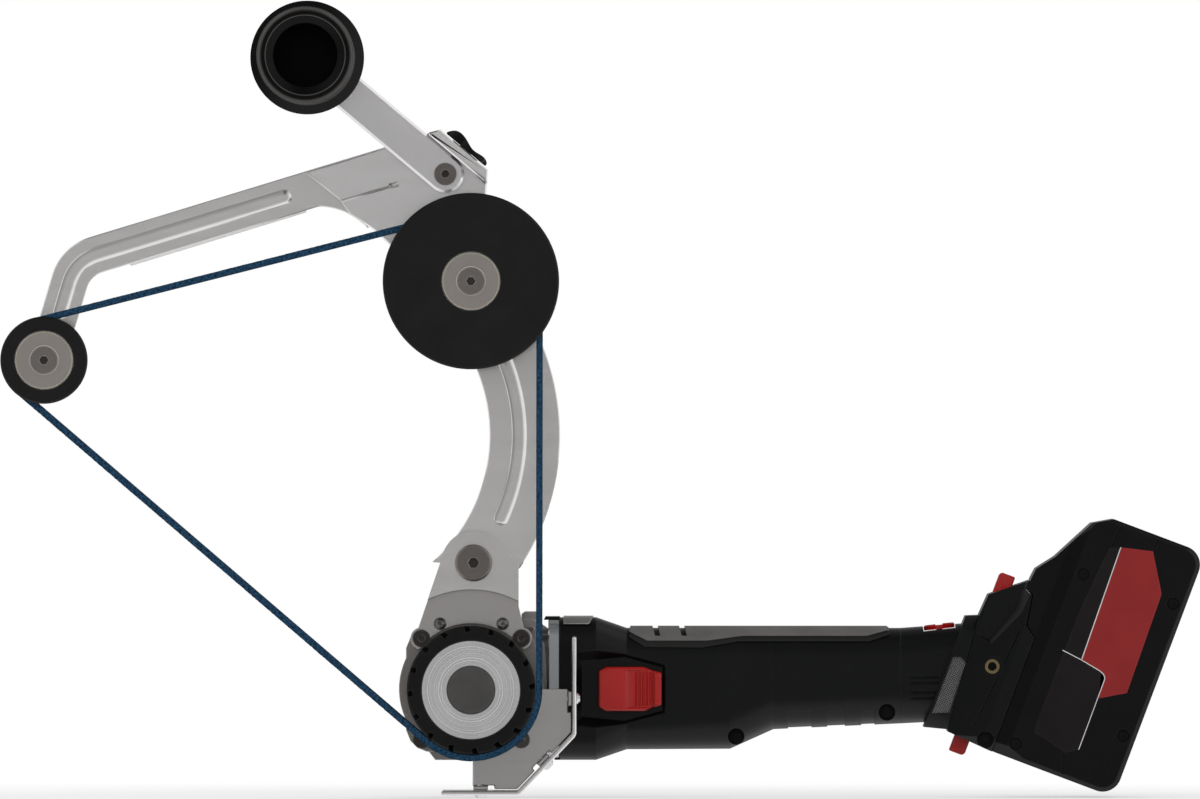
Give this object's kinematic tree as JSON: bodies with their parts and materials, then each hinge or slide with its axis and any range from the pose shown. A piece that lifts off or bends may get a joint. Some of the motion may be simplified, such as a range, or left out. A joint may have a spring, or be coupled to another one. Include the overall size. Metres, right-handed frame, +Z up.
{
  "type": "cordless pipe belt sander",
  "caption": "Cordless belt sander for pipes: motor body with slide-on battery pack, gear head, and a sprung C-shaped arm that carries an open loop of abrasive belt and a side handle.",
  "frame": {"origin": "middle of the tool's outline seen from above, on the plane under its lowest point", "axes": "+X from the tip roller to the battery pack, +Y away from the viewer, +Z up; the spindle, rollers and handle grip lie along Y and the motor along X"},
  "size_m": [0.5624, 0.1896, 0.3743],
  "materials": {
    "die_cast": "bead-blasted die casting",
    "collar_metal": "turned",
    "bare_aluminium": "machined",
    "roller_aluminium": "turned",
    "black_plastic": "fine spark-eroded texture",
    "pack_plastic": "fine texture",
    "soft_rubber": "soft matt",
    "grip_rubber": "soft matt",
    "tyre_rubber": "ground rubber",
    "red_plastic": "satin",
    "panel_red": "satin print",
    "grey_plastic": "satin",
    "cap_plastic": "satin",
    "disc_black": "smooth matt",
    "knob_black": "moulded",
    "sheet_steel": "zinc-plated sheet",
    "screw_steel": "dark oxide",
    "bright_steel": "bright zinc",
    "machine_steel": "ground",
    "washer_metal": "satin",
    "mesh_metal": "woven wire",
    "brass": "plain",
    "motor_iron": "laminated",
    "electronics": "potted",
    "cell_metal": "sleeved",
    "belt_blue": "coated abrasive, rough outside"
  },
  "bodies": {
    "tool": {"gear_housing": "die_cast", "bearing_flange": "collar_metal", "motor_flange": "bare_aluminium", "gear_head_screws": "screw_steel", "gear_head_bolts": "bright_steel", "motor_housing_near": "black_plastic", "motor_housing_far": "black_plastic", "housing_screws": "screw_steel", "soft_grip": "soft_rubber", "cover_plate": "grey_plastic", "motor_stator": "motor_iron", "gear_bearings": "machine_steel", "control_electronics": "electronics", "rear_housing_near": "black_plastic", "rear_housing_far": "black_plastic", "filter_frame": "black_plastic", "filter_mesh": "mesh_metal", "threaded_inserts": "brass", "contact_blades": "brass", "base_bracket": "sheet_steel", "guard_plate": "sheet_steel", "guard_strip": "sheet_steel", "guard_bolts": "bright_steel", "pivot_bolt": "screw_steel", "spring_cup": "machine_steel", "tension_spring": "machine_steel", "abrasive_belt": "belt_blue"},
    "drive_roller": {"spindle": "machine_steel", "crown_gear": "machine_steel", "drive_hub": "bare_aluminium", "drive_tyre": "tyre_rubber", "drive_cap": "cap_plastic"},
    "rotor": {"pinion_shaft": "machine_steel", "rotor_core": "motor_iron", "cooling_fan": "knob_black"},
    "belt_arm": {"curved_arm": "sheet_steel", "reach_arm": "sheet_steel", "head_bracket": "sheet_steel", "roller_axles": "machine_steel", "hub_washers": "washer_metal", "arm_screws": "screw_steel"},
    "top_roller": {"top_roller_drum": "roller_aluminium", "top_roller_disc": "disc_black", "top_roller_bearings": "machine_steel"},
    "tip_roller": {"tip_roller_drum": "roller_aluminium", "tip_roller_disc": "disc_black", "tip_roller_bearings": "machine_steel"},
    "handle": {"handle_bar": "bare_aluminium", "handle_grip": "grip_rubber"},
    "clamp": {"clamp_knob": "knob_black"},
    "switch": {"slide_switch": "red_plastic"},
    "dial": {"speed_dial": "red_plastic"},
    "lock_button": {"spindle_lock": "knob_black"},
    "battery_pack": {"pack_case_near": "pack_plastic", "pack_case_far": "pack_plastic", "pack_cells": "cell_metal", "pack_red_panel": "panel_red", "pack_screws": "screw_steel"},
    "upper_release": {"release_button_upper": "red_plastic"},
    "lower_release": {"release_button_lower": "red_plastic"}
  },
  "joints": [
    {"name": "drive_spin", "type": "hinge", "parent": "tool", "child": "drive_roller", "pos_m": [-0.06099, 0.0548, 0.0511], "axis": [0, -1, 0], "continuous": true},
    {"name": "rotor_spin", "type": "hinge", "parent": "tool", "child": "rotor", "pos_m": [-0.06099, 0.0548, 0.0511], "axis": [1, 0, 0], "continuous": true},
    {"name": "arm_swing", "type": "hinge", "parent": "tool", "child": "belt_arm", "pos_m": [-0.05999, 0.0548, 0.1104], "axis": [0, -1, 0], "range_deg": [0, 12], "stiffness_Nm_per_rad": 6, "springref_deg": -40.11, "deforming": ["abrasive_belt"]},
    {"name": "top_roller_spin", "type": "hinge", "parent": "belt_arm", "child": "top_roller", "pos_m": [-0.06099, 0.0548, 0.2425], "axis": [0, -1, 0], "continuous": true},
    {"name": "tip_roller_spin", "type": "hinge", "parent": "belt_arm", "child": "tip_roller", "pos_m": [-0.26079, 0.0548, 0.2055], "axis": [0, -1, 0], "continuous": true},
    {"name": "handle_swivel", "type": "hinge", "parent": "belt_arm", "child": "handle", "pos_m": [-0.07319, 0.0548, 0.293], "axis": [0, -1, 0], "range_deg": [0, 30]},
    {"name": "knob_turn", "type": "hinge", "parent": "belt_arm", "child": "clamp", "pos_m": [-0.07319, 0.0117, 0.293], "axis": [0.6441, 0, 0.7649], "range_deg": [0, 180]},
    {"name": "switch_slide", "type": "slide", "parent": "tool", "child": "switch", "axis": [-1, 0, 0], "range_m": [0, 0.006]},
    {"name": "dial_turn", "type": "hinge", "parent": "tool", "child": "dial", "pos_m": [0.15921, 0.0548, 0.0791], "axis": [-0.1132, 0, 0.9936], "range_deg": [0, 270]},
    {"name": "lock_press", "type": "slide", "parent": "tool", "child": "lock_button", "axis": [0, -1, 0], "range_m": [0, 0.003], "stiffness_N_per_m": 600, "springref_m": -0.002},
    {"name": "pack_slide", "type": "slide", "parent": "tool", "child": "battery_pack", "axis": [0.3528, 0, 0.9357], "range_m": [0, 0.085]},
    {"name": "upper_release_press", "type": "slide", "parent": "tool", "child": "upper_release", "axis": [-0.3528, 0, -0.9357], "range_m": [0, 0.003], "stiffness_N_per_m": 500, "springref_m": -0.002},
    {"name": "lower_release_press", "type": "slide", "parent": "tool", "child": "lower_release", "axis": [0.3528, 0, 0.9357], "range_m": [0, 0.003], "stiffness_N_per_m": 500, "springref_m": -0.002}
  ],
  "couplings": [
    {"joint": "rotor_spin", "follows": "drive_spin", "ratio": -3.0833},
    {"joint": "top_roller_spin", "follows": "drive_spin", "ratio": 0.99176},
    {"joint": "tip_roller_spin", "follows": "drive_spin", "ratio": 1.7602}
  ]
}
